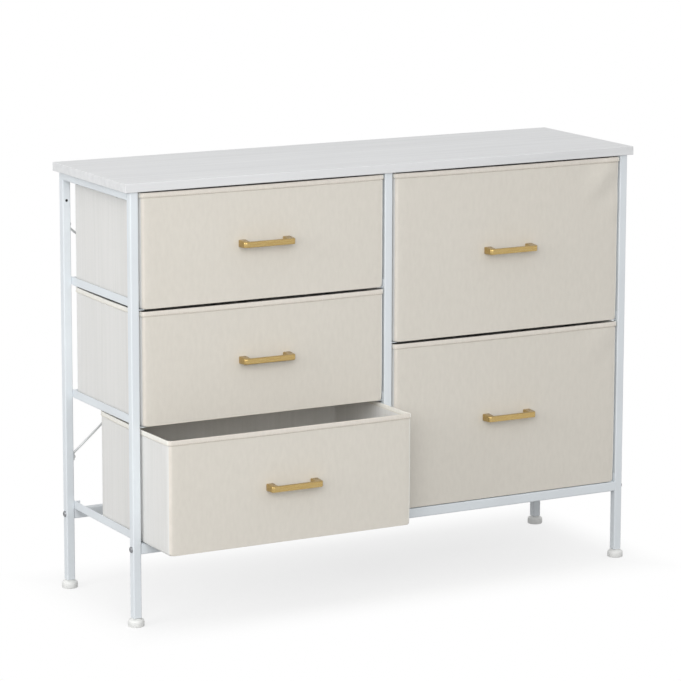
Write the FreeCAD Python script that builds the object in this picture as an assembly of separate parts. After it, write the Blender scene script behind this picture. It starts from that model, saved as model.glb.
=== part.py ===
import FreeCAD, Part
import os
from math import cos, pi, radians, sin
from FreeCAD import Vector

# Fabric drawer dresser in millimetres: +Z is up, -Y is the front,
# and the origin is on the floor in the middle of the four legs.

# Top board, a coated chipboard panel that ties the three steel frames together
board_length = 1000.0
board_depth = 300.0
board_thickness = 15.0
board_edge_chamfer = 0.6
board_side_overhang = 10.0
board_front_overhang = 4.0

# Square steel tube of the posts and top rails, and the taller tube of the beams
tube_size = 15.0
tube_wall = 1.0
tube_corner = 2.0
beam_height = 17.0
leg_clearance = 125.0
foot_height = 15.0

# Drawer columns, named from the bottom up
left_column = ("lower_left", "middle_left", "upper_left")
right_column = ("lower_right", "upper_right")
left_pitch = 200.0
drawer_headroom = 2.5
drawer_side_gap = 3.0
drawer_seat_gap = 0.3
drawer_stop_gap = 1.0
open_drawer = "lower_left"
open_distance = 100.0

# Drawer runner, an angle of folded sheet whose shelf ends in an upturned stop
sheet = 1.2
sheet_bend = 2.0
runner_flange_height = 15.0
runner_shelf_width = 12.0
runner_stop_width = 10.0
runner_stop_slit = 1.5
runner_stop_setback = 1.0
runner_setback = 5.0

# Sewn drawer box, stiffened by a board behind its front and a board on its floor
fabric_wall = 3.0
fabric_floor = 2.0
fabric_bottom_corner = 9.0
fabric_upright_corner = 8.0
front_board_thickness = 4.0
front_board_corner = 7.0
front_board_drop = 12.0
base_board_thickness = 3.0
inner_board_clearance = 1.0

# Bar handle and the two screws that hold it from inside the drawer
handle_length = 98.0
handle_projection = 24.0
handle_height = 10.0
handle_bar_depth = 8.0
handle_post_width = 14.0
handle_chamfer = 4.0
handle_edge_chamfer = 0.8
handle_screw_radius = 2.0
handle_screw_head_radius = 4.0
handle_screw_head_height = 2.4
handle_screw_bite = 10.0

# Bolts of the frame, whose heads leave a rim of the tube bare, and the inserts that they turn in
bolt_radius = 3.0
bolt_head_rim = 2.0
bolt_head_height = 3.0
bolt_length = 35.0
insert_length = 20.0
insert_clearance = 0.1
hole_clearance = 0.25
thread_clearance = 0.05

# Screws that hold the board from below through the top rails
board_screw_radius = 2.0
board_screw_head_radius = 4.0
board_screw_head_height = 3.0
board_screw_bite = 10.0
board_screw_inset = 50.0
pilot_extra = 1.0

# Rear cross braces of round rod with flattened ends, and their screws
brace_radius = 2.0
brace_margin = 94.0
brace_spread = 3.0
brace_tab_thickness = 1.6
brace_tab_width = 9.0
brace_tab_reach = 9.0
brace_tab_end = 6.0
brace_screw_radius = 2.0
brace_screw_head_radius = 3.8
brace_screw_head_height = 2.4
brace_screw_length = 9.0

# Hole for a wall strap in the two outer rear posts
strap_hole_radius = 2.5
strap_hole_drop = 51.0

# Levelling feet, a plastic pad on a threaded stud
pad_radius = 14.0
pad_height = 10.0
pad_shoulder = 3.0
hub_base_radius = 9.0
hub_top_radius = 6.5
stud_radius = 4.0
stud_length = 33.0
stud_seat = 4.0
stud_clearance = 0.08
foot_gap = 0.3

# Flats around the many small round pieces and their holes, and around the pads
shank_sides = 6
head_sides = 12
pad_sides = 24

# Places that follow from the sizes above
overcut = 1.0
post_outer_x = board_length / 2 - board_side_overhang
post_inner_x = post_outer_x - tube_size
post_front_y = board_front_overhang - board_depth / 2
post_rear_y = -post_front_y
tube_half = tube_size / 2
bolt_head_radius = tube_half - bolt_head_rim
beam_top = leg_clearance + beam_height
frame_top = beam_top + left_pitch * len(left_column)
right_pitch = left_pitch * len(left_column) / len(right_column)
board_top = frame_top + board_thickness
front_tube_y = (post_front_y, post_front_y + tube_size)
rear_tube_y = (post_rear_y - tube_size, post_rear_y)
left_tube_x = (-post_outer_x, -post_inner_x)
centre_tube_x = (-tube_half, tube_half)
right_tube_x = (post_inner_x, post_outer_x)
stop_rear_y = rear_tube_y[0] - runner_stop_setback
drawer_rear_y = stop_rear_y - sheet - drawer_stop_gap
front_wall = fabric_wall + front_board_thickness

along_x = Vector(1, 0, 0)
along_y = Vector(0, 1, 0)
along_z = Vector(0, 0, 1)


def middle(span):
    return (span[0] + span[1]) / 2


def grow(span, amount):
    return (span[0] - amount, span[1] + amount)


def ordered(a, b):
    return (min(a, b), max(a, b))


def block(x, y, z):
    corner = Vector(x[0], y[0], z[0])
    return Part.makeBox(x[1] - x[0], y[1] - y[0], z[1] - z[0], corner)


def edges_along(shape, axis):
    return [edge for edge in shape.Edges if abs(edge.Curve.Direction.dot(axis)) > cos(radians(1))]


def rounded_bar(axis, x, y, z, radius):
    """A bar along the axis whose four long edges are round."""
    bar = block(x, y, z)
    return bar.makeFillet(radius, edges_along(bar, axis))


def square_tube(axis, x, y, z):
    """A steel tube along the axis, open at both ends."""
    bore = [grow(span, overcut if way == axis else -tube_wall)
            for way, span in ((along_x, x), (along_y, y), (along_z, z))]
    return rounded_bar(axis, x, y, z, tube_corner).cut(block(*bore))


def ring(centre, axis, radius, sides):
    """A polygon around the axis with its corners on the radius."""
    across = axis.cross(Vector(1, 1, 1)).normalize()
    upward = axis.cross(across).normalize()
    turns = [2 * pi * step / sides for step in range(sides)]
    corners = [centre + across * (radius * cos(turn)) + upward * (radius * sin(turn)) for turn in turns]
    return Part.makePolygon(corners + corners[:1])


def shank(start, end, radius):
    """The stem of a screw, which just fits inside the radius."""
    return Part.Face(ring(start, end - start, radius, shank_sides)).extrude(end - start)


def drill(start, end, radius):
    """The room of a hole, whose flats touch the radius from outside."""
    return shank(start, end, radius / cos(pi / shank_sides))


def screw(seat, direction, radius, length, head_radius, head_height):
    """A flat-headed screw whose head bears on the seat and whose stem runs along the direction."""
    head = Part.Face(ring(seat, direction, head_radius, head_sides)).extrude(-direction * head_height)
    return shank(seat, seat + direction * length, radius).fuse(head)


parts = {}


# Top board, with blind pilot holes for its screws
def board_screw_places():
    reach = rear_tube_y[0] - board_screw_inset
    return [(middle(x), side * reach) for x in (left_tube_x, centre_tube_x, right_tube_x) for side in (-1, 1)]


def top_board():
    panel = block((-board_length / 2, board_length / 2), (-board_depth / 2, board_depth / 2),
                  (frame_top, board_top))
    panel = panel.makeChamfer(board_edge_chamfer, panel.Edges)
    pilots = [
        drill(Vector(px, py, frame_top - overcut), Vector(px, py, frame_top + board_screw_bite + pilot_extra),
              board_screw_radius + thread_clearance)
        for px, py in board_screw_places()
    ]
    return panel.cut(pilots)


def top_rail(x):
    rail = square_tube(along_y, x, (front_tube_y[1], rear_tube_y[0]), (frame_top - tube_size, frame_top))
    holes = [
        drill(Vector(px, py, frame_top - tube_size - overcut), Vector(px, py, frame_top + overcut),
              board_screw_radius + hole_clearance)
        for px, py in board_screw_places() if x[0] < px < x[1]
    ]
    return rail.cut(holes)


def board_screws():
    return Part.makeCompound([
        screw(Vector(px, py, frame_top - tube_size), along_z, board_screw_radius,
              tube_size + board_screw_bite, board_screw_head_radius, board_screw_head_height)
        for px, py in board_screw_places()
    ])


parts["top_board"] = top_board()
parts["left_top_rail"] = top_rail(left_tube_x)
parts["centre_top_rail"] = top_rail(centre_tube_x)
parts["right_top_rail"] = top_rail(right_tube_x)
parts["board_screws"] = board_screws()


# Cross braces: each bay has two rods, one in front of the other
brace_low = beam_top + brace_margin
brace_high = frame_top - brace_margin
brace_front_y = middle(rear_tube_y) - brace_spread
brace_rear_y = middle(rear_tube_y) + brace_spread


class BraceEnd:
    """The place where a brace is screwed to a post, and which ways its rod leaves."""

    def __init__(self, face_x, depth, height, inward, climb):
        self.face_x = face_x
        self.depth = depth
        self.height = height
        self.inward = inward
        self.climb = climb

    def at(self, out, up):
        return Vector(self.face_x + self.inward * out, self.depth, self.height + self.climb * up)


def bay_braces(left_face, right_face):
    rising = (BraceEnd(left_face, brace_front_y, brace_low, 1, 1),
              BraceEnd(right_face, brace_front_y, brace_high, -1, -1))
    falling = (BraceEnd(left_face, brace_rear_y, brace_high, 1, -1),
               BraceEnd(right_face, brace_rear_y, brace_low, -1, 1))
    return [rising, falling]


all_braces = bay_braces(-post_inner_x, -tube_half) + bay_braces(tube_half, post_inner_x)
all_brace_ends = [end for brace in all_braces for end in brace]


def brace_tab(end):
    """The flattened end of a rod, which lies on the post."""
    low = end.at(0, -brace_tab_end)
    high = end.at(brace_tab_thickness, brace_tab_reach)
    tab = block(ordered(low.x, high.x), grow((end.depth, end.depth), brace_tab_width / 2),
                ordered(low.z, high.z))
    return tab.cut(drill(end.at(-overcut, 0), end.at(brace_tab_thickness + overcut, 0),
                         brace_screw_radius + hole_clearance))


def brace_rod(left, right):
    """A straight rod that starts inside the far end of each tab's face."""
    start = left.at(brace_radius, brace_tab_reach - brace_radius)
    stop = right.at(brace_radius, brace_tab_reach - brace_radius)
    straight = Part.Face(ring(start, stop - start, brace_radius, head_sides)).extrude(stop - start)
    return straight.fuse([brace_tab(left), brace_tab(right)])


parts["brace_rods"] = Part.makeCompound([brace_rod(*ends) for ends in all_braces])
parts["brace_screws"] = Part.makeCompound([
    screw(end.at(brace_tab_thickness, 0), along_x * -end.inward, brace_screw_radius, brace_screw_length,
          brace_screw_head_radius, brace_screw_head_height)
    for end in all_brace_ends
])


# Posts, drilled for the beam bolts, the brace screws and the wall strap
bolt_level = leg_clearance + beam_height / 2
strap_level = frame_top - strap_hole_drop


def post(x, y, bottom):
    tube = square_tube(along_z, x, y, (bottom, frame_top))
    holes = []
    if bottom < leg_clearance:
        holes.append(drill(Vector(x[0] - overcut, middle(y), bolt_level),
                           Vector(x[1] + overcut, middle(y), bolt_level), bolt_radius + hole_clearance))
    if y == rear_tube_y:
        holes += [drill(end.at(-tube_wall - overcut, 0), end.at(overcut, 0), brace_screw_radius + hole_clearance)
                  for end in all_brace_ends if x[0] <= end.face_x <= x[1]]
        if x != centre_tube_x:
            holes.append(Part.makeCylinder(strap_hole_radius, tube_size + 2 * overcut,
                                           Vector(middle(x), y[0] - overcut, strap_level), along_y))
    return tube.cut(holes) if holes else tube


for side, x, bottom in (("left", left_tube_x, foot_height), ("centre", centre_tube_x, beam_top),
                        ("right", right_tube_x, foot_height)):
    parts["front_%s_post" % side] = post(x, front_tube_y, bottom)
    parts["rear_%s_post" % side] = post(x, rear_tube_y, bottom)


# Lower beams between the outer posts, drilled for the bolts of the centre posts
def beam(y):
    tube = square_tube(along_x, (-post_inner_x, post_inner_x), y, (leg_clearance, beam_top))
    return tube.cut(drill(Vector(0, middle(y), leg_clearance - overcut),
                          Vector(0, middle(y), beam_top + overcut), bolt_radius + hole_clearance))


def frame_bolt(seat, direction):
    return screw(seat, direction, bolt_radius, bolt_length, bolt_head_radius, bolt_head_height)


def frame_bolts():
    made = []
    for y in (front_tube_y, rear_tube_y):
        made.append(frame_bolt(Vector(-post_outer_x, middle(y), bolt_level), along_x))
        made.append(frame_bolt(Vector(post_outer_x, middle(y), bolt_level), -along_x))
        made.append(frame_bolt(Vector(0, middle(y), leg_clearance), along_z))
    return Part.makeCompound(made)


def threaded_insert(axis, x, y, z, thread_radius):
    """A plug that fills the end of a tube, with a threaded hole along its axis."""
    fit = tube_wall + insert_clearance
    inside = [grow(span, 0 if way == axis else -fit)
              for way, span in ((along_x, x), (along_y, y), (along_z, z))]
    centre = Vector(middle(x), middle(y), middle(z))
    reach = axis * (insert_length / 2 + overcut)
    return block(*inside).cut(drill(centre - reach, centre + reach, thread_radius))


def tube_inserts():
    bolt_thread = bolt_radius + thread_clearance
    made = []
    for y in (front_tube_y, rear_tube_y):
        for x in (left_tube_x, right_tube_x):
            made.append(threaded_insert(along_z, x, y, (foot_height, foot_height + insert_length),
                                        stud_radius + stud_clearance))
        for side in (-1, 1):
            x = ordered(side * post_inner_x, side * (post_inner_x - insert_length))
            made.append(threaded_insert(along_x, x, y, (leg_clearance, beam_top), bolt_thread))
        made.append(threaded_insert(along_z, centre_tube_x, y, (beam_top, beam_top + insert_length),
                                    bolt_thread))
    return Part.makeCompound(made)


parts["front_beam"] = beam(front_tube_y)
parts["rear_beam"] = beam(rear_tube_y)
parts["frame_bolts"] = frame_bolts()
parts["tube_inserts"] = tube_inserts()


# Levelling feet
def turned(x, y, outline):
    """A turned solid on an upright axis, from its radii and heights, lowest first."""
    rings = [ring(Vector(x, y, height), along_z, radius, pad_sides) for radius, height in outline]
    faces = [Part.Face(rings[0]), Part.Face(rings[-1])]
    for lower, upper in zip(rings, rings[1:]):
        for below, above in zip(lower.Edges, upper.Edges):
            corners = [below.firstVertex(), below.lastVertex(), above.lastVertex(), above.firstVertex()]
            faces.append(Part.Face(Part.makePolygon([corner.Point for corner in corners + corners[:1]])))
    return Part.makeSolid(Part.Shell(faces))


def foot_pad(x, y):
    """A pad with a sloping shoulder, a conical hub and a blind hole for the stud."""
    disc_and_hub = turned(x, y, [(pad_radius, 0), (pad_radius, pad_height - pad_shoulder),
                                 (pad_radius - pad_shoulder, pad_height), (hub_base_radius, pad_height),
                                 (hub_top_radius, foot_height - foot_gap)])
    hole = drill(Vector(x, y, stud_seat), Vector(x, y, foot_height), stud_radius + stud_clearance)
    return disc_and_hub.cut(hole).removeSplitter()


def foot_stud(x, y):
    """A threaded stud that stands on the floor of the pad's hole."""
    return Part.makeCylinder(stud_radius, stud_length, Vector(x, y, stud_seat))


for side, x in (("left", left_tube_x), ("right", right_tube_x)):
    for end, y in (("front", front_tube_y), ("rear", rear_tube_y)):
        parts["%s_%s_foot_pad" % (end, side)] = foot_pad(middle(x), middle(y))
        parts["%s_%s_foot_stud" % (end, side)] = foot_stud(middle(x), middle(y))


# Drawer runners
def runner(face_x, inward, level):
    """An angle on the inner faces of two posts, with its shelf turned up at the rear as a stop."""
    front_y = post_front_y + runner_setback

    def at(out, up):
        return Vector(face_x + inward * out, front_y, level + up)

    def across(near, far):
        return ordered(face_x + inward * near, face_x + inward * far)

    bend_low = sheet_bend * (1 - cos(radians(45)))
    bend_high = sheet_bend - (sheet_bend - sheet) * cos(radians(45))
    section = Part.Wire([
        Part.Arc(at(0, sheet_bend), at(bend_low, bend_low), at(sheet_bend, 0)).toShape(),
        *Part.makePolygon([at(sheet_bend, 0), at(runner_shelf_width, 0), at(runner_shelf_width, sheet),
                           at(sheet_bend, sheet)]).Edges,
        Part.Arc(at(sheet_bend, sheet), at(bend_high, bend_high), at(sheet, sheet_bend)).toShape(),
        *Part.makePolygon([at(sheet, sheet_bend), at(sheet, runner_flange_height),
                           at(0, runner_flange_height), at(0, sheet_bend)]).Edges,
    ])
    angle = Part.Face(section).extrude(along_y * (stop_rear_y - front_y))
    upright = (level + sheet_bend, level + runner_flange_height)
    ear = block(across(0, sheet), (stop_rear_y, post_rear_y - runner_setback), upright)
    stop = block(across(sheet + runner_stop_slit, runner_stop_width), (stop_rear_y - sheet, stop_rear_y),
                 (level, level + runner_flange_height))
    return angle.fuse([ear, stop]).removeSplitter()


# Drawers
def drawer_spans(left_face, right_face, level, pitch, pulled):
    """The outside of a closed or pulled drawer box, from the runners that carry it."""
    side = sheet + drawer_side_gap
    x = (left_face + side, right_face - side)
    y = (post_front_y - pulled, drawer_rear_y - pulled)
    z = (level + sheet + drawer_seat_gap, level + pitch - drawer_headroom)
    return x, y, z


def handle_screw_places(x, z):
    reach = (handle_length - handle_post_width) / 2
    return [(middle(x) + side * reach, middle(z)) for side in (-1, 1)]


def screw_ways(x, y, z):
    """The two handle-screw holes, through the whole front wall."""
    return [
        drill(Vector(px, y[0] - overcut, pz), Vector(px, y[0] + front_wall + overcut, pz),
              handle_screw_radius + hole_clearance)
        for px, pz in handle_screw_places(x, z)
    ]


def drawer_fabric(x, y, z):
    """The sewn panels of an open box with round uprights and rolled lower side edges."""
    above = (z[0], z[1] + 2 * fabric_bottom_corner)
    outside = rounded_bar(along_z, x, y, z, fabric_upright_corner)
    outside = outside.common(rounded_bar(along_y, x, y, above, fabric_bottom_corner))
    between = grow(y, -fabric_wall)
    inside = rounded_bar(along_y, grow(x, -fabric_wall), between, (z[0] + fabric_floor, above[1]),
                         fabric_bottom_corner - fabric_wall)
    shell = outside.cut([inside] + screw_ways(x, y, z))
    roll = (z[0], z[0] + fabric_bottom_corner)
    front_and_back = [block(x, (y[0], between[0]), z), block(x, (between[1], y[1]), z)]
    floor = [block(grow(x, -fabric_bottom_corner), between, roll)]
    sides = []
    for edge in ((x[0], x[0] + fabric_bottom_corner), (x[1] - fabric_bottom_corner, x[1])):
        sides.append(block(edge, between, roll))
        sides.append(block(edge, between, (roll[1], z[1])))
    return Part.makeCompound([panel for room in front_and_back + floor + sides
                              for panel in shell.common(room).Solids])


def drawer_front_board(x, y, z):
    """A board that stands on the floor behind the front wall, cut off where the box is round."""
    board = block(grow(x, -fabric_wall - inner_board_clearance), (y[0] + fabric_wall, y[0] + front_wall),
                  (z[0] + fabric_floor, z[1] - front_board_drop))
    lower = [edge for edge in edges_along(board, along_y) if edge.BoundBox.ZMax < middle(z)]
    return board.makeChamfer(front_board_corner, lower).cut(screw_ways(x, y, z))


def drawer_base_board(x, y, z):
    """A board that lies on the floor, between the round lower edges."""
    floor = z[0] + fabric_floor
    board_y = (y[0] + front_wall + inner_board_clearance, y[1] - fabric_wall - inner_board_clearance)
    return block(grow(x, -fabric_bottom_corner - inner_board_clearance), board_y,
                 (floor, floor + base_board_thickness))


def drawer_handle(x, y, z):
    """A C-shaped bar with chamfered ends, standing on the drawer front on two posts."""
    seat = y[0]
    face = seat - handle_projection
    half = handle_length / 2
    post_in = half - handle_post_width
    right = [(post_in, seat), (half, seat), (half, face + handle_chamfer), (half - handle_chamfer, face)]
    left = [(-px, py) for px, py in reversed(right)]
    notch = [(-post_in, face + handle_bar_depth), (post_in, face + handle_bar_depth)]
    low = middle(z) - handle_height / 2
    outline = [Vector(middle(x) + px, py, low) for px, py in right + left + notch]
    bar = Part.Face(Part.makePolygon(outline + outline[:1])).extrude(along_z * handle_height)
    front = [edge for edge in bar.Edges
             if edge.BoundBox.ZLength < handle_edge_chamfer and edge.BoundBox.YMin < face + handle_edge_chamfer]
    bar = bar.makeChamfer(handle_edge_chamfer, front)
    return bar.cut([
        drill(Vector(px, seat + overcut, pz), Vector(px, seat - handle_screw_bite - pilot_extra, pz),
              handle_screw_radius + thread_clearance)
        for px, pz in handle_screw_places(x, z)
    ])


def handle_screws(x, y, z):
    return Part.makeCompound([
        screw(Vector(px, y[0] + front_wall, pz), -along_y, handle_screw_radius,
              front_wall + handle_screw_bite, handle_screw_head_radius, handle_screw_head_height)
        for px, pz in handle_screw_places(x, z)
    ])


columns = (
    (left_column, left_pitch, -post_inner_x, -tube_half, ("outer", "inner")),
    (right_column, right_pitch, tube_half, post_inner_x, ("inner", "outer")),
)
for names, pitch, left_face, right_face, sides in columns:
    for index, name in enumerate(names):
        level = beam_top + index * pitch
        parts["%s_%s_runner" % (name, sides[0])] = runner(left_face, 1, level)
        parts["%s_%s_runner" % (name, sides[1])] = runner(right_face, -1, level)
        pulled = open_distance if name == open_drawer else 0.0
        spans = drawer_spans(left_face, right_face, level, pitch, pulled)
        parts[name + "_drawer_fabric"] = drawer_fabric(*spans)
        parts[name + "_drawer_front_board"] = drawer_front_board(*spans)
        parts[name + "_drawer_base_board"] = drawer_base_board(*spans)
        parts[name + "_handle"] = drawer_handle(*spans)
        parts[name + "_handle_screws"] = handle_screws(*spans)

os.makedirs("parts", exist_ok=True)
for node, shape in parts.items():
    shape.exportStep("parts/%s.step" % node)
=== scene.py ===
from math import cos, exp, pi, radians, sin

import bmesh
import bpy
from mathutils import Color, Matrix, Vector


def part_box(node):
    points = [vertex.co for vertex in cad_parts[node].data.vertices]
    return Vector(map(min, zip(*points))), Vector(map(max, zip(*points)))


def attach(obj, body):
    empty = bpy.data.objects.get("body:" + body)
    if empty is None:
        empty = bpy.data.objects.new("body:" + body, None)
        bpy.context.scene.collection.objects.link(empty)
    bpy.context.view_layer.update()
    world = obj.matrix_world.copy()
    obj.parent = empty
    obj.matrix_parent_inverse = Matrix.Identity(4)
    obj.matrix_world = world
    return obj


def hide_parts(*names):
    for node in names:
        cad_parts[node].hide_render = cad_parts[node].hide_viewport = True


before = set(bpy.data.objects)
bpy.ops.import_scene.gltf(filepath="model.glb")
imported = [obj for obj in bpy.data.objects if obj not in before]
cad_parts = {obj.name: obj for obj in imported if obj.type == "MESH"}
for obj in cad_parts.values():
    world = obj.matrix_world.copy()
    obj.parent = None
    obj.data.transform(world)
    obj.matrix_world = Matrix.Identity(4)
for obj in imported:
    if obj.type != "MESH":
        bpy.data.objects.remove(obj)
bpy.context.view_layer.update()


# Steel frame: posts, rails and beams of square tube, and drawer runners of folded sheet.
# All of it is mild steel under one white powder coat, which flows out into a fine orange peel and
# doesn't reach the inside of the tubes. There the bare steel is painted near black: painted shade of the
# hollow tube.
def paint(*steps):
    """A colour as it is seen, in steps of 255, in the form that a shader takes."""
    seen = Color([step / 255 for step in steps])
    return (*seen.from_srgb_to_scene_linear(), 1.0)


class Finish:
    """A material in the making: its shader, and patterns that read the piece's own place."""

    # Noise seldom leaves this span.
    noise_low = 0.3
    noise_high = 0.7

    def __init__(self, name, roughness, metallic=0.0):
        self.material = bpy.data.materials.new(name)
        self.material.use_nodes = True
        self.tree = self.material.node_tree
        self.shader = self.tree.nodes["Principled BSDF"]
        self.shader.inputs["Roughness"].default_value = roughness
        self.shader.inputs["Metallic"].default_value = metallic
        self.place = self.tree.nodes.new("ShaderNodeTexCoord").outputs["Object"]

    def grain(self, specks, detail=2.0):
        """Noise with so many specks to the metre along each axis."""
        mapping = self.tree.nodes.new("ShaderNodeMapping")
        mapping.inputs["Scale"].default_value = specks
        noise = self.tree.nodes.new("ShaderNodeTexNoise")
        noise.inputs["Scale"].default_value = 1.0
        noise.inputs["Detail"].default_value = detail
        self.tree.links.new(self.place, mapping.inputs["Vector"])
        self.tree.links.new(mapping.outputs["Vector"], noise.inputs["Vector"])
        return noise.outputs["Fac"]

    def ribs(self, direction, pitch):
        """Even ridges across a direction, one to each pitch."""
        along = self.tree.nodes.new("ShaderNodeVectorMath")
        along.operation = "DOT_PRODUCT"
        along.inputs[1].default_value = direction
        turns = self.tree.nodes.new("ShaderNodeMath")
        turns.operation = "MULTIPLY"
        turns.inputs[1].default_value = 2 * pi / pitch
        ridge = self.tree.nodes.new("ShaderNodeMath")
        ridge.operation = "SINE"
        self.tree.links.new(self.place, along.inputs[0])
        self.tree.links.new(along.outputs["Value"], turns.inputs[0])
        self.tree.links.new(turns.outputs["Value"], ridge.inputs[0])
        return ridge.outputs["Value"]

    def total(self, first, second, share):
        """The first pattern plus a share of the second."""
        node = self.tree.nodes.new("ShaderNodeMath")
        node.operation = "MULTIPLY_ADD"
        node.inputs[1].default_value = share
        self.tree.links.new(second, node.inputs[0])
        self.tree.links.new(first, node.inputs[2])
        return node.outputs["Value"]

    def colours(self, pattern, low, high, start=noise_low, end=noise_high):
        """Colours the shader from low to high with the pattern."""
        ramp = self.tree.nodes.new("ShaderNodeValToRGB")
        ramp.color_ramp.elements[0].position = start
        ramp.color_ramp.elements[0].color = low
        ramp.color_ramp.elements[1].position = end
        ramp.color_ramp.elements[1].color = high
        self.tree.links.new(pattern, ramp.inputs["Fac"])
        self.tree.links.new(ramp.outputs["Color"], self.shader.inputs["Base Color"])

    def roughens(self, pattern, low, high):
        """Makes the shader from low to high rough with the pattern."""
        node = self.tree.nodes.new("ShaderNodeMapRange")
        node.inputs["From Min"].default_value = self.noise_low
        node.inputs["From Max"].default_value = self.noise_high
        node.inputs["To Min"].default_value = low
        node.inputs["To Max"].default_value = high
        self.tree.links.new(pattern, node.inputs["Value"])
        self.tree.links.new(node.outputs["Result"], self.shader.inputs["Roughness"])

    def raises(self, pattern, height, strength):
        """Raises the surface by the pattern, by so many metres."""
        bump = self.tree.nodes.new("ShaderNodeBump")
        bump.inputs["Strength"].default_value = strength
        bump.inputs["Distance"].default_value = height
        self.tree.links.new(pattern, bump.inputs["Height"])
        self.tree.links.new(bump.outputs["Normal"], self.shader.inputs["Normal"])


def coat(finish, *nodes):
    """Gives one finish to pieces that keep the shape they come with."""
    for node in nodes:
        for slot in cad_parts[node].material_slots:
            slot.material = finish.material


powder_coat = Finish("white_powder_coat", 0.42)
powder_coat.colours(powder_coat.grain((9, 9, 9), 4.0), paint(219, 224, 228), paint(225, 231, 235))
powder_coat.roughens(powder_coat.grain((70, 70, 70)), 0.36, 0.48)
powder_coat.raises(powder_coat.grain((700, 700, 700)), 0.00008, 0.6)
# Bare steel inside the tubes, painted near black: mostly painted shade of the hollow, darker than the steel
# itself.
painted_shade_steel = Finish("painted_shade_tube_inside", 0.6, 0.7)
painted_shade_steel.colours(painted_shade_steel.grain((90, 90, 90), 4.0), paint(52, 51, 50), paint(70, 69, 67))
sides = ("left", "centre", "right")
ends = ("front", "rear")
drawer_names = ("lower_left", "middle_left", "upper_left", "lower_right", "upper_right")
tube_wall = 0.001
# Faces that lie deeper than this are inside the tube, and take the near-black steel, which is painted
# shade.
inside_shade_depth = 0.9 * tube_wall
for side in sides:
    coat(powder_coat, side + "_top_rail")
    for end in ends:
        coat(powder_coat, "%s_%s_post" % (end, side))
        low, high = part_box("%s_%s_post" % (end, side))
        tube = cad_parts["%s_%s_post" % (end, side)].data
        tube.materials.append(painted_shade_steel.material)
        for polygon in tube.polygons:
            x, y, z = polygon.center
            if min(x - low.x, high.x - x, y - low.y, high.y - y) > inside_shade_depth:
                polygon.material_index = len(tube.materials) - 1
for name in drawer_names:
    coat(powder_coat, name + "_outer_runner", name + "_inner_runner")
coat(powder_coat, "front_beam", "rear_beam")


# Top board: a chipboard panel wrapped in matt white foil with a printed and pressed wood grain.
# It lies on the three top rails, and screws hold it from below.
white_foil = Finish("white_wood_foil", 0.5)
grain_lines = white_foil.grain((2.5, 95, 95), 5.0)
cloudy = white_foil.total(grain_lines, white_foil.grain((4, 14, 14), 2.0), 0.45)
white_foil.colours(cloudy, paint(217, 218, 219), paint(228, 229, 230), start=0.5, end=0.95)
white_foil.roughens(grain_lines, 0.52, 0.66)
white_foil.raises(grain_lines, 0.00025, 0.5)
coat(white_foil, "top_board")


# Frame bolts: six socket-headed bolts of zinc-plated steel, turned into inserts in the tube ends.
# Four clamp the beams to the outer posts, and two hold the centre posts up from under the beams.
def arc(centre, reach, start, end, steps):
    """Points of an outline along a round or oval bend, between two angles in degrees."""
    for step in range(steps + 1):
        turn = radians(start + (end - start) * step / steps)
        yield (centre[0] + reach[0] * cos(turn), centre[1] + reach[1] * sin(turn))


def turned(bm, outline, seat, direction, recess=None, steps=24):
    """Spins an outline of radii and heights about an axis from the seat, and shapes its recess."""
    before = set(bm.verts)
    corners = [bm.verts.new((radius, 0, height)) for radius, height in outline]
    lines = [bm.edges.new(pair) for pair in zip(corners, corners[1:])]
    bmesh.ops.spin(bm, geom=corners + lines, cent=(0, 0, 0), axis=(0, 0, 1), angle=2 * pi, steps=steps,
                   use_merge=True)
    made = [vert for vert in bm.verts if vert not in before]
    if recess:
        for vert in made:
            recess(vert)
    place = Matrix.Translation(seat) @ Vector(direction).to_track_quat("Z", "Y").to_matrix().to_4x4()
    bmesh.ops.transform(bm, matrix=place, verts=made)


sharp_angle = radians(34)


def piece(bm, name, body, *finishes):
    """Closes a mesh and makes it a piece that rides on the body, smooth except at its sharp edges."""
    bmesh.ops.remove_doubles(bm, verts=bm.verts[:], dist=1e-6)
    bmesh.ops.recalc_face_normals(bm, faces=bm.faces[:])
    for face in bm.faces:
        face.smooth = True
    for edge in bm.edges:
        edge.smooth = edge.calc_face_angle(0) < sharp_angle
    mesh = bpy.data.meshes.new(name)
    bm.to_mesh(mesh)
    bm.free()
    for finish in finishes:
        mesh.materials.append(finish.material)
    made = bpy.data.objects.new(name, mesh)
    bpy.context.scene.collection.objects.link(made)
    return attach(made, body)


plated_steel = Finish("zinc_plated_bolts", 0.4, 0.9)
plated_steel.colours(plated_steel.grain((260, 260, 260)), paint(131, 132, 135), paint(158, 159, 162))
plated_steel.roughens(plated_steel.grain((500, 500, 500)), 0.3, 0.46)
plated_steel.raises(plated_steel.grain((1500, 1500, 1500)), 0.00003, 0.5)

bolt_radius = 0.003
bolt_length = 0.012
bolt_head_radius = 0.0055
bolt_head_height = 0.003
bolt_head_rim = 0.0004
socket_reach = 0.002
socket_floor = 0.0012
socket_chamfer = 0.0003
socket_mouth = socket_reach + socket_chamfer
# Points this close to the rim of a recess belong to it.
rim_margin = 0.0002
bolt_dome = arc((socket_mouth, bolt_head_rim),
                (bolt_head_radius - socket_mouth, bolt_head_height - bolt_head_rim), 90, 0, 4)
bolt_outline = ((0, socket_floor), (socket_reach, socket_floor),
                (socket_reach, bolt_head_height - socket_chamfer), *bolt_dome, (bolt_head_radius, 0),
                (bolt_radius, 0), (bolt_radius, -bolt_length), (0, -bolt_length))


def off_middle(across, count):
    """The angle from the middle of a side, where so many sides make up the round."""
    return (across.angle_signed(Vector((1, 0))) + 2 * pi) % (2 * pi / count) - pi / count


def hexagonal(vert):
    """Draws the socket's round wall out to six flats."""
    across = Vector((vert.co.x, vert.co.y))
    if abs(across.length - socket_reach) < rim_margin:
        vert.co.xy = across.normalized() * (socket_reach / cos(off_middle(across, 6)))


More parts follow.
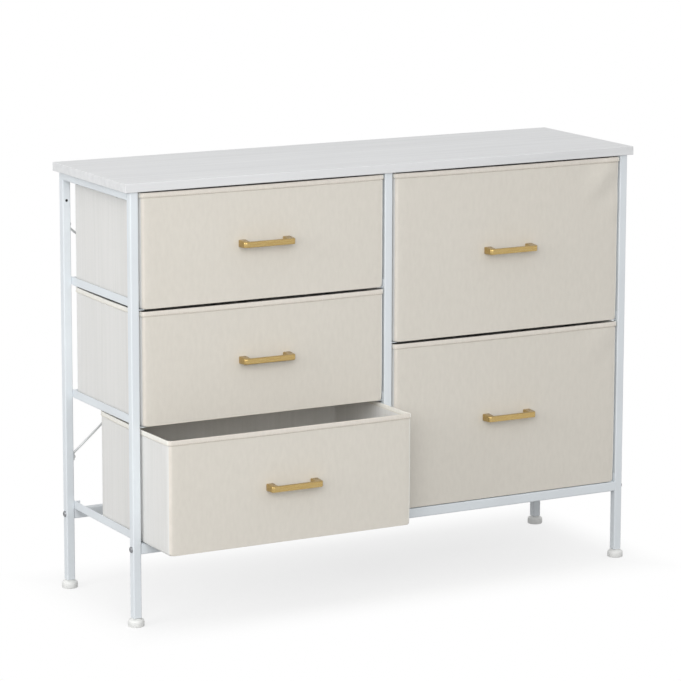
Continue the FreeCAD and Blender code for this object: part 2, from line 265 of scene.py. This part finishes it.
beam_low, beam_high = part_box("front_beam")
bolt_level = (beam_low.z + beam_high.z) / 2
bolts = bmesh.new()
for end in ends:
    for side, way in (("left", -1), ("right", 1)):
        low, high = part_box("%s_%s_post" % (end, side))
        seat = (low.x if way < 0 else high.x, (low.y + high.y) / 2, bolt_level)
        turned(bolts, bolt_outline, seat, (way, 0, 0), hexagonal)
    low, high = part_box(end + "_beam")
    turned(bolts, bolt_outline, (0, (low.y + high.y) / 2, low.z), (0, 0, -1), hexagonal)
bolt_piece = piece(bolts, "socket_bolts", "frame", plated_steel)
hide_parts("frame_bolts")


# Braces and screws: zinc-plated rods cross behind the drawers, with flattened ends on the rear posts.
# Eight pan-headed screws with a cross recess hold them, and six more hold the board from below.
zinc = Finish("zinc_plate", 0.34, 0.95)
zinc.colours(zinc.grain((180, 180, 180), 3.0), paint(145, 147, 148), paint(172, 174, 174))
zinc.roughens(zinc.grain((420, 420, 420)), 0.26, 0.42)
zinc.raises(zinc.grain((1200, 1200, 1200)), 0.00003, 0.5)
dull_zinc = Finish("dull_zinc_rod", 0.5, 0.3)
dull_zinc.colours(dull_zinc.grain((60, 60, 60), 3.0), paint(206, 208, 208), paint(222, 224, 224))
dull_zinc.roughens(dull_zinc.grain((300, 300, 300)), 0.42, 0.58)
dull_zinc.raises(dull_zinc.grain((900, 900, 900)), 0.00004, 0.5)
coat(dull_zinc, "brace_rods")

screw_radius = 0.002
screw_length = 0.006
pan_radius = 0.0037
pan_height = 0.0022
pan_bend = 0.0016
cross_rim = 0.0015
cross_sink = 0.0001
cross_floor_radius = 0.0006
cross_floor = 0.0009
cross_arm = 0.0019
cross_web = 0.0007
cross_web_angle = radians(35)
pan_dome = arc((pan_radius - pan_bend, pan_height - pan_bend), (pan_bend, pan_bend), 90, 0, 3)
pan_outline = ((0, cross_floor), (cross_floor_radius, cross_floor), (cross_rim, pan_height - cross_sink),
               *pan_dome, (pan_radius, 0), (screw_radius, 0), (screw_radius, -screw_length),
               (0, -screw_length))


def crossed(vert):
    """Draws the recess's round rim in between its four arms."""
    across = Vector((vert.co.x, vert.co.y))
    if abs(across.length - cross_rim) < rim_margin:
        in_arm = abs(off_middle(across, 4)) > cross_web_angle
        vert.co.xy = across.normalized() * (cross_arm if in_arm else cross_web)


board_screw_reach = 0.081
screws = bmesh.new()
for side in sides:
    low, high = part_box(side + "_top_rail")
    for way in (-1, 1):
        seat = ((low.x + high.x) / 2, way * board_screw_reach, low.z)
        turned(screws, pan_outline, seat, (0, 0, -1), crossed)
board_piece = piece(screws, "board_pan_screws", "frame", zinc)
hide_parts("board_screws")

brace_margin = 0.094
brace_tab_thickness = 0.0016
brace_spread = 0.003
screws = bmesh.new()
for left, right in (("left", "centre"), ("centre", "right")):
    left_low, left_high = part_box("rear_%s_post" % left)
    right_low, right_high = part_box("rear_%s_post" % right)
    brace_low = beam_high.z + brace_margin
    brace_high = left_high.z - brace_margin
    left_seat = left_high.x + brace_tab_thickness
    right_seat = right_low.x - brace_tab_thickness
    middle = (left_low.y + left_high.y) / 2
    for depth, left_level, right_level in ((middle - brace_spread, brace_low, brace_high),
                                           (middle + brace_spread, brace_high, brace_low)):
        turned(screws, pan_outline, (left_seat, depth, left_level), (1, 0, 0), crossed)
        turned(screws, pan_outline, (right_seat, depth, right_level), (-1, 0, 0), crossed)
brace_piece = piece(screws, "brace_pan_screws", "frame", zinc)
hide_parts("brace_screws")


# Tube inserts: black nylon plugs pressed into the ends of the tubes, moulded with a threaded hole.
# Only the four in the legs can be seen, from below, around the studs of the feet.
nylon = Finish("black_nylon", 0.55)
nylon.colours(nylon.grain((120, 120, 120)), paint(38, 38, 40), paint(52, 52, 54))
nylon.roughens(nylon.grain((300, 300, 300)), 0.48, 0.64)
nylon.raises(nylon.grain((900, 900, 900)), 0.00006, 0.6)
coat(nylon, "tube_inserts")


# Feet: a white moulded pad turns on a threaded steel stud, which screws up into the leg to level it.
# The pad has a rounded shoulder and a tapered hub, and the thread shows once the foot is screwed out.
thread_pitch = 0.00125
thread = Finish("stud_thread_shaded_grooves", 0.4, 0.9)
turns_of_thread = thread.ribs((0, 0, 1), thread_pitch)
# The colour follows the ridges: the grooves are painted darker than the crests, as painted shade.
thread.colours(turns_of_thread, paint(65, 66, 69), paint(106, 107, 110), start=0.0, end=1.0)
thread.raises(turns_of_thread, 0.0003, 0.9)
pad_plastic = Finish("white_pad_plastic", 0.5)
pad_plastic.colours(pad_plastic.grain((60, 60, 60)), paint(228, 229, 227), paint(236, 236, 234))
pad_plastic.roughens(pad_plastic.grain((240, 240, 240)), 0.42, 0.58)
pad_plastic.raises(pad_plastic.grain((1100, 1100, 1100)), 0.00005, 0.5)

pad_radius = 0.014
pad_height = 0.0146
pad_edge_width = 0.0012
pad_edge_height = 0.0014
pad_neck_radius = 0.0098
pad_shoulder_foot = 0.0078
pad_shoulder_height = 0.0046
pad_hub_radius = 0.0057
pad_bore_radius = 0.0042
pad_bore_floor = 0.004
pad_taper_steps = 4
pad_edge = arc((pad_radius - pad_edge_width, pad_edge_height),
               (pad_edge_width, pad_edge_height), -90, 0, 2)
pad_shoulder = arc((pad_neck_radius, pad_shoulder_foot),
                   (pad_radius - pad_neck_radius, pad_shoulder_height), 0, 90, 4)
pad_taper_height = pad_height - pad_shoulder_foot - pad_shoulder_height
pad_taper = [(pad_neck_radius + (pad_hub_radius - pad_neck_radius) * step / pad_taper_steps,
              pad_height - pad_taper_height * (1 + cos(pi * step / pad_taper_steps)) / 2)
             for step in range(1, pad_taper_steps + 1)]
pad_outline = ((0, 0), *pad_edge, *pad_shoulder, *pad_taper, (pad_bore_radius, pad_height),
               (pad_bore_radius, pad_bore_floor), (0, pad_bore_floor))
for end in ends:
    for side in ("left", "right"):
        low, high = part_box("%s_%s_foot_pad" % (end, side))
        pad = bmesh.new()
        seat = ((low.x + high.x) / 2, (low.y + high.y) / 2, low.z)
        turned(pad, pad_outline, seat, (0, 0, 1), steps=40)
        pad_piece = piece(pad, "%s_%s_moulded_pad" % (end, side), "%s_%s_pad" % (end, side), pad_plastic)
        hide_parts("%s_%s_foot_pad" % (end, side))
        coat(thread, "%s_%s_foot_stud" % (end, side))


# Drawer boards: a thin hardboard panel stands behind each drawer front and one lies on each floor.
# They are cut bare from sheet, with a brown pressed face, and keep the cloth box square.
hardboard = Finish("pressed_hardboard", 0.7)
hardboard.colours(hardboard.grain((45, 45, 45), 6.0), paint(176, 158, 130), paint(198, 181, 152))
hardboard.roughens(hardboard.grain((90, 90, 90)), 0.62, 0.8)
hardboard.raises(hardboard.grain((420, 420, 420), 4.0), 0.00015, 0.6)
for name in drawer_names:
    coat(hardboard, name + "_drawer_front_board", name + "_drawer_base_board")


# Drawer boxes: each is sewn from thick felted cloth, beige over the front and paler over the rest,
# with a folded hem around the top and a lining that closes the pocket of the front board. The cloth
# is pulled tight around the right front corner, where its seam shows as a white edge.
weave_pitch = 0.0013


def cloth_finish(name, dark, light, streaks):
    """Felted cloth: fine crossed threads, soft mottling and upright streaks."""
    cloth = Finish(name, 0.88)
    cloth.shader.inputs["Sheen Weight"].default_value = 0.12
    cloth.shader.inputs["Sheen Roughness"].default_value = 0.6
    mottled = cloth.total(cloth.grain(streaks, 3.0), cloth.grain((420, 420, 420), 3.0), 0.35)
    cloth.colours(mottled, dark, light, start=0.375, end=0.975)
    warp = cloth.ribs((1, 1, 0), weave_pitch)
    weft = cloth.ribs((0, 0, 1), weave_pitch)
    felted = cloth.total(cloth.total(warp, weft, 1.0), cloth.grain((900, 900, 900), 3.0), 2.0)
    cloth.raises(felted, 0.00009, 0.55)
    return cloth


front_cloth = cloth_finish("beige_front_cloth", paint(217, 212, 202), paint(223, 218, 208), (150, 150, 60))
side_cloth = cloth_finish("pale_side_cloth", paint(222, 222, 219), paint(231, 230, 228), (190, 190, 5))
hem_cloth = cloth_finish("folded_hem_cloth", paint(218, 212, 202), paint(228, 221, 212), (150, 150, 60))
tape_cloth = cloth_finish("pale_tape_cloth", paint(233, 231, 223), paint(242, 240, 233), (190, 190, 60))
box_cloths = (front_cloth, side_cloth, hem_cloth, tape_cloth)
seam_ply = 0.0007
seam_thread = Finish("seam_thread", 0.8)
seam_thread.colours(seam_thread.grain((700, 700, 700)), paint(196, 189, 176), paint(222, 216, 205))
seam_thread.raises(seam_thread.ribs((1, 1, 1), seam_ply), 0.0001, 0.6)

upright_corner = 0.008
tight_corner = 0.003
corner_steps = 5
bottom_corner = 0.005
bottom_steps = 4
underside_inset = 0.001
underside_lift = 0.0001
wall_face = 0.0004
wall_thickness = 0.0026
floor_thickness = 0.0018
seam_width = 0.0007
seam_depth = 0.0009
hem_face = -0.0005
hem_height = 0.008
hem_edge = 0.0002
# The rounded fold of the hem's top edge, as steps inwards and down from the rim.
hem_fold = ((0, 0.0009), (0.0003, 0.0002), (0.0011, 0))
lining_depth = 0.0073
lining_gap = 0.0003
pocket_drop = 0.0117
ring_step = 0.010


class Loft:
    """Rings of one rounded outline, each pulled out of the last to the spans that it is given."""

    def __init__(self, x, y, z):
        self.bm = bmesh.new()
        bmesh.ops.create_grid(self.bm, x_segments=1, y_segments=1, size=0.5)
        bmesh.ops.scale(self.bm, vec=(x[1] - x[0], y[1] - y[0], 1), verts=self.bm.verts)
        for vert in self.bm.verts[:]:
            tight = vert.co.x > 0 and vert.co.y < 0
            bmesh.ops.bevel(self.bm, geom=[vert], offset=tight_corner if tight else upright_corner,
                            affect="VERTICES", segments=corner_steps, profile=0.5, material=-1)
        for edge in self.bm.edges[:]:
            if edge.calc_length() > upright_corner:
                cuts = int(edge.calc_length() / ring_step)
                bmesh.ops.subdivide_edges(self.bm, edges=[edge], cuts=cuts)
        bmesh.ops.translate(self.bm, vec=((x[0] + x[1]) / 2, (y[0] + y[1]) / 2, z), verts=self.bm.verts)
        self.edges = self.bm.edges[:]
        self.spans = (x, y)

    def to(self, x, y, z):
        """Adds a ring that fills these spans at this height."""
        made = bmesh.ops.extrude_edge_only(self.bm, edges=self.edges)["geom"]
        self.edges = [part for part in made if isinstance(part, bmesh.types.BMEdge) and part.is_boundary]
        for vert in {vert for edge in self.edges for vert in edge.verts}:
            for axis, old, new in ((0, self.spans[0], x), (1, self.spans[1], y)):
                share = (vert.co[axis] - old[0]) / (old[1] - old[0])
                vert.co[axis] = new[0] + share * (new[1] - new[0])
            vert.co.z = z
        self.spans = (x, y)


def inset(span, first, last):
    """A span that is shorter by so much at its first and its last end."""
    return (span[0] + first, span[1] - last)


def cloth_box(low, high):
    """A thin-walled open box: up the outside, over the hem and down the inside to the floor."""
    x = (low.x, high.x)
    y = (low.y, high.y)
    rim = high.z
    hem_foot = rim - hem_height
    turns = [radians(90) * step / bottom_steps for step in range(bottom_steps + 1)]
    loft = Loft(inset(x, bottom_corner, bottom_corner), inset(y, underside_inset, underside_inset),
                low.z + underside_lift)

    def outer(face, z):
        loft.to(inset(x, face, face), inset(y, face, face), z)

    def inner(face, z, front=wall_thickness, deeper=0.0):
        side = wall_thickness + face + deeper
        loft.to(inset(x, side, side), inset(y, front + face, wall_thickness + face), z)

    for turn in turns[1:]:
        side = wall_face + bottom_corner * (1 - sin(turn))
        level = low.z + bottom_corner * (1 - cos(turn))
        loft.to(inset(x, side, side), inset(y, wall_face, wall_face), level)
    wall_foot = low.z + bottom_corner
    wall_height = hem_foot - 2 * seam_width - wall_foot
    wall_steps = int(wall_height / ring_step)
    levels = [wall_foot + wall_height * step / wall_steps for step in range(1, wall_steps + 1)]
    for level in levels:
        outer(wall_face, level)
    outer(wall_face + seam_depth, hem_foot - seam_width)
    outer(wall_face + seam_depth, hem_foot)
    outer(hem_face, hem_foot + hem_edge)
    for inwards, down in hem_fold:
        outer(hem_face + inwards, rim - down)
    for inwards, down in reversed(hem_fold):
        inner(-inwards, rim - down)
    inner(0, hem_foot)
    lining_top = rim - pocket_drop
    inner(lining_gap, lining_top, lining_depth)
    for level in reversed(levels):
        if level < lining_top - ring_step / 2:
            inner(lining_gap, level, lining_depth)
    for turn in reversed(turns[:-1]):
        level = low.z + floor_thickness + (bottom_corner - floor_thickness) * (1 - cos(turn))
        inner(lining_gap, level, lining_depth, (bottom_corner - wall_thickness) * (1 - sin(turn)))
    bmesh.ops.edgeloop_fill(loft.bm, edges=loft.edges)
    return loft.bm


# Slack of the cloth, in metres, and its waves, in radians over a wall's run and rise and to the
# metre of the drawer's level. Every reach, and the fold's place and length, is a share of the box.
foot_reach = 0.2
rim_reach = 0.25
side_reach = 0.04
back_reach = 0.06
front_reach = 0.02
flare_reach = 0.08
side_belly = 0.0006
side_wave_depth = 0.0004
side_waves = (7, 3, 9)
back_wave_depth = 0.00035
back_waves = (6 * pi, 4, 11)
front_wave_depth = 0.00025
front_waves = (4.4 * pi, 5, 7)
side_sag = 0.0016
back_sag = 0.00128
front_sag = 0.0009
corner_flare = 0.0012
corner_folds = {"upper_right": 0.0028, "lower_right": 0.0012}
fold_place = (0.95, 0.84)
fold_reach = (0.08, 0.15)
fold_crest = (0.945, 0.93)
fold_slope = 1.4
fold_length = 0.34


def near(share, reach):
    """One at an edge, which falls to nought where the share of the way across comes to the reach."""
    return max(1 - share / reach, 0.0)


def wave(waves, run, rise, level):
    """A wave that leans as it rises and starts at another place in each drawer."""
    return sin(waves[0] * run + waves[1] * rise + waves[2] * level)


def slack(point, low, high, fold_depth):
    """How far the cloth gives at a point: its sides belly, its rim sags, its front dents a little."""
    across = (point.x - low.x) / (high.x - low.x)
    deep = (point.y - low.y) / (high.y - low.y)
    rise = min(max((point.z - low.z) / (high.z - low.z), 0.0), 1.0)
    free = 1 - near(rise, foot_reach)
    top = near(1 - rise, rim_reach)
    left = near(across, side_reach)
    right = near(1 - across, side_reach)
    back = near(1 - deep, back_reach)
    front = near(deep, front_reach)
    belly = sin(pi * deep) * (side_belly + side_wave_depth * wave(side_waves, deep, rise, low.z))
    ripple = sin(pi * across) * back_wave_depth * wave(back_waves, across, rise, low.z)
    dent = front_wave_depth * wave(front_waves, across, rise, low.z)
    aside = (across - fold_place[0]) / fold_reach[0]
    aloft = (rise - fold_place[1]) / fold_reach[1]
    past_crest = rise - fold_crest[1] - fold_slope * (across - fold_crest[0])
    fold = exp(-aside * aside - aloft * aloft) * (1 + cos(2 * pi * past_crest / fold_length))
    move = Vector((0, 0, 0))
    move.x = free * (belly * (right - left) + right * near(deep, flare_reach) * corner_flare)
    move.y = free * (back * ripple + front * dent) - front * fold_depth * fold
    move.z = -top * (left + right) * sin(pi * deep) * side_sag
    move.z -= top * sin(pi * across) * (back * back_sag + front * front_sag)
    return move


stitch_pitch = 0.004
stitch_length = 0.0027
stitch_width = 0.0006
stitch_margin = 0.0012
corner_stitches = 3


def around(x, y):
    """Places of stitches along the box's outline seen from above, each with the way that it runs."""
    radii = (upright_corner, upright_corner, upright_corner, tight_corner)
    corners = ((x[1] - radii[0], y[1] - radii[0]), (x[0] + radii[1], y[1] - radii[1]),
               (x[0] + radii[2], y[0] + radii[2]), (x[1] - radii[3], y[0] + radii[3]))

    def on_corner(index, turn):
        return Vector(corners[index]) + radii[index] * Vector((cos(turn), sin(turn)))

    for index in range(len(corners)):
        for step in range(corner_stitches):
            turn = radians(90) * (index + (step + 0.5) / corner_stitches)
            yield on_corner(index, turn), turn + radians(90)
        turn = radians(90) * (index + 1)
        start = on_corner(index, turn)
        end = on_corner((index + 1) % len(corners), turn)
        count = int((end - start).length / stitch_pitch)
        for step in range(count):
            yield start.lerp(end, (step + 0.5) / count), turn + radians(90)


def stitches(bm, x, y, z):
    """A row of lock stitches, each a short bead that lies half in the cloth."""
    size = Matrix.Diagonal((stitch_length, stitch_width, stitch_width, 1))
    for place, turn in around(x, y):
        bead = Matrix.Translation((place.x, place.y, z)) @ Matrix.Rotation(turn, 4, "Z")
        bmesh.ops.create_cube(bm, size=1.0, matrix=bead @ size)


front_wrap = 0.4 * upright_corner
edge_wrap = 0.7 * upright_corner
for name in drawer_names:
    low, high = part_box(name + "_drawer_fabric")
    fold_depth = corner_folds.get(name, 0.0)
    box = cloth_box(low, high)
    for face in box.faces:
        middle = face.calc_center_median()
        aside = min(middle.x - low.x, high.x - middle.x)
        forward = middle.y < low.y + front_wrap
        hemmed = middle.z > high.z - hem_height
        if forward and high.x - middle.x < tight_corner:
            cloth = tape_cloth
        elif forward:
            cloth = hem_cloth if hemmed or aside < edge_wrap else front_cloth
        else:
            cloth = tape_cloth if hemmed else side_cloth
        face.material_index = box_cloths.index(cloth)
    for vert in box.verts:
        vert.co += slack(vert.co, low, high, fold_depth)
    box_piece = piece(box, name + "_cloth_box", name + "_drawer", *box_cloths)
    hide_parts(name + "_drawer_fabric")
    seam = bmesh.new()
    row = high.z - hem_height + stitch_margin
    for face in (hem_face, wall_thickness):
        stitches(seam, inset((low.x, high.x), face, face), inset((low.y, high.y), face, face), row)
    for vert in seam.verts:
        vert.co += slack(vert.co, low, high, fold_depth)
    piece(seam, name + "_hem_stitches", name + "_drawer", seam_thread)


# Handles: a flat bar with a flared post at each end, cast in zinc alloy and plated satin gold.
# Two screws pull each one against the cloth from inside the drawer, through the front board.
satin_gold = Finish("satin_gold_plate", 0.3, 1.0)
brushed = satin_gold.grain((40, 900, 900), 3.0)
satin_gold.colours(brushed, paint(182, 155, 99), paint(194, 168, 113))
satin_gold.roughens(brushed, 0.22, 0.3)
satin_gold.raises(brushed, 0.00002, 0.25)
handle_bar_depth = 0.008
handle_post_width = 0.014
handle_end_chamfer = 0.004
handle_edge = 0.0017
handle_flare = 1.3
handle_sink = 0.0008
handle_screw_reach = 0.042
front_board_face = 0.007
for name in drawer_names:
    low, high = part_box(name + "_handle")
    centre = (low.x + high.x) / 2
    level = (low.z + high.z) / 2
    foot = high.y + handle_sink
    bar_back = low.y + handle_bar_depth
    end_back = low.y + handle_end_chamfer
    left_post = low.x + handle_post_width
    right_post = high.x - handle_post_width
    outline = ((right_post, foot), (high.x, foot), (high.x, end_back), (high.x - handle_end_chamfer, low.y),
               (low.x + handle_end_chamfer, low.y), (low.x, end_back), (low.x, foot), (left_post, foot),
               (left_post, bar_back), (right_post, bar_back))
    bar = bmesh.new()
    under = bar.faces.new([bar.verts.new((across, deep, low.z)) for across, deep in outline])
    raised = bmesh.ops.extrude_face_region(bar, geom=[under], use_keep_orig=True)["geom"]
    bmesh.ops.translate(bar, vec=(0, 0, high.z - low.z),
                        verts=[part for part in raised if isinstance(part, bmesh.types.BMVert)])
    for vert in bar.verts:
        if vert.co.y > high.y:
            vert.co.z += (handle_flare - 1) * (vert.co.z - level)
    bmesh.ops.recalc_face_normals(bar, faces=bar.faces[:])
    bmesh.ops.bevel(bar, geom=bar.edges[:], offset=handle_edge, affect="EDGES", segments=3, profile=0.5,
                    material=-1)
    bar_piece = piece(bar, name + "_gold_bar", name + "_drawer", satin_gold)
    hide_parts(name + "_handle")
    box_low, box_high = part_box(name + "_drawer_fabric")
    fixings = bmesh.new()
    for way in (-1, 1):
        seat = (centre + way * handle_screw_reach, box_low.y + front_board_face, level)
        turned(fixings, pan_outline, seat, (0, 1, 0), crossed)
    fixing_piece = piece(fixings, name + "_handle_pan_screws", name + "_drawer", zinc)
    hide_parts(name + "_handle_screws")


# Floor: a wide pale sheet, which keeps the soft shadow under the dresser and turns to plain white
# further out. It isn't part of the object.
def seen_rays(tree):
    """One for rays that are seen, straight or as a reflection, and nought for light on its way."""
    path = tree.nodes.new("ShaderNodeLightPath")
    seen = path.outputs["Is Camera Ray"]
    for kind in ("Is Glossy Ray", "Is Transmission Ray"):
        either = tree.nodes.new("ShaderNodeMath")
        either.operation = "MAXIMUM"
        tree.links.new(seen, either.inputs[0])
        tree.links.new(path.outputs[kind], either.inputs[1])
        seen = either.outputs["Value"]
    return seen


floor_reach = 15
floor_drop = 0.0002
shadow_spans = ((0.46, 0.58), (0.14, 0.3))
shadow_whiteness = 0.7
pale_floor = bpy.data.materials.new("pale_floor")
pale_floor.use_nodes = True
floor_tree = pale_floor.node_tree
floor_tree.nodes.clear()
floor_bounce = floor_tree.nodes.new("ShaderNodeBsdfDiffuse")
floor_bounce.inputs["Color"].default_value = paint(160, 160, 160)
floor_shadow = floor_tree.nodes.new("ShaderNodeBsdfDiffuse")
floor_shadow.inputs["Color"].default_value = paint(250, 250, 250)
floor_white = floor_tree.nodes.new("ShaderNodeEmission")
floor_white.inputs["Strength"].default_value = 1.0
floor_place = floor_tree.nodes.new("ShaderNodeTexCoord")
axes = floor_tree.nodes.new("ShaderNodeSeparateXYZ")
outside = floor_tree.nodes.new("ShaderNodeMath")
outside.operation = "MAXIMUM"
floor_tree.links.new(floor_place.outputs["Object"], axes.inputs["Vector"])
for axis, (dark_reach, white_reach) in enumerate(shadow_spans):
    reach = floor_tree.nodes.new("ShaderNodeMath")
    reach.operation = "ABSOLUTE"
    fade = floor_tree.nodes.new("ShaderNodeMapRange")
    fade.interpolation_type = "SMOOTHSTEP"
    fade.inputs["From Min"].default_value = dark_reach
    fade.inputs["From Max"].default_value = white_reach
    fade.inputs["To Min"].default_value = shadow_whiteness
    fade.inputs["To Max"].default_value = 1.0
    floor_tree.links.new(axes.outputs[axis], reach.inputs[0])
    floor_tree.links.new(reach.outputs["Value"], fade.inputs["Value"])
    floor_tree.links.new(fade.outputs["Result"], outside.inputs[axis])
floor_seen = floor_tree.nodes.new("ShaderNodeMixShader")
floor_mix = floor_tree.nodes.new("ShaderNodeMixShader")
floor_output = floor_tree.nodes.new("ShaderNodeOutputMaterial")
floor_tree.links.new(outside.outputs["Value"], floor_seen.inputs["Fac"])
floor_tree.links.new(floor_shadow.outputs["BSDF"], floor_seen.inputs[1])
floor_tree.links.new(floor_white.outputs["Emission"], floor_seen.inputs[2])
floor_tree.links.new(seen_rays(floor_tree), floor_mix.inputs["Fac"])
floor_tree.links.new(floor_bounce.outputs["BSDF"], floor_mix.inputs[1])
floor_tree.links.new(floor_seen.outputs["Shader"], floor_mix.inputs[2])
floor_tree.links.new(floor_mix.outputs["Shader"], floor_output.inputs["Surface"])
sheet = bmesh.new()
bmesh.ops.create_grid(sheet, x_segments=1, y_segments=1, size=floor_reach)
bmesh.ops.translate(sheet, vec=(0, 0, -floor_drop), verts=sheet.verts)
floor_mesh = bpy.data.meshes.new("floor")
sheet.to_mesh(floor_mesh)
sheet.free()
floor_mesh.materials.append(pale_floor)
floor = bpy.data.objects.new("floor", floor_mesh)
bpy.context.scene.collection.objects.link(floor)


# Light: a white room all round, one large soft lamp in front and another to the left.
# The room is plain white where it is seen, and a little darker as light on the dresser.
room = bpy.data.worlds.new("white_room")
room.use_nodes = True
room_tree = room.node_tree
room_light = room_tree.nodes["Background"]
room_light.inputs["Color"].default_value = (1, 1, 1, 1)
room_light.inputs["Strength"].default_value = 0.72
room_seen = room_tree.nodes.new("ShaderNodeBackground")
room_seen.inputs["Color"].default_value = (1, 1, 1, 1)
room_seen.inputs["Strength"].default_value = 1.0
room_mix = room_tree.nodes.new("ShaderNodeMixShader")
room_tree.links.new(seen_rays(room_tree), room_mix.inputs["Fac"])
room_tree.links.new(room_light.outputs["Background"], room_mix.inputs[1])
room_tree.links.new(room_seen.outputs["Background"], room_mix.inputs[2])
room_tree.links.new(room_mix.outputs["Shader"], room_tree.nodes["World Output"].inputs["Surface"])
bpy.context.scene.world = room
lamp_target = Vector((0, 0, 0.45))


def soft_lamp(name, place, size, power):
    """A round lamp of so many metres and watts, which faces the middle of the dresser."""
    lamp = bpy.data.lights.new(name, "AREA")
    lamp.shape = "DISK"
    lamp.size = size
    lamp.energy = power
    holder = bpy.data.objects.new(name, lamp)
    holder.location = place
    holder.rotation_euler = (lamp_target - Vector(place)).to_track_quat("-Z", "Y").to_euler()
    bpy.context.scene.collection.objects.link(holder)


soft_lamp("front_lamp", (-1.9, -3.4, 1.9), 2.4, 69)
soft_lamp("left_lamp", (-3.6, -0.9, 1.5), 2.0, 36)


# Camera: to the front left of the dresser and above its board, with a long lens. The lens is
# shifted, so that the camera dips less and the posts stay more nearly upright in the picture.
camera_place = (-2.6917, -4.9256, 1.5327)
camera_turn = radians(-28.517)
camera_dip = radians(9.974)
camera_roll = radians(0.105)
view = bpy.data.cameras.new("camera")
view.sensor_width = 36
view.lens = 170.27
view.shift_y = -0.1
view.clip_end = 100
camera = bpy.data.objects.new("camera", view)
camera.matrix_world = (Matrix.Translation(camera_place) @ Matrix.Rotation(camera_turn, 4, "Z")
                       @ Matrix.Rotation(radians(90) - camera_dip, 4, "X")
                       @ Matrix.Rotation(camera_roll, 4, "Z"))
bpy.context.scene.collection.objects.link(camera)
bpy.context.scene.camera = camera
bpy.context.scene.view_settings.view_transform = "Standard"
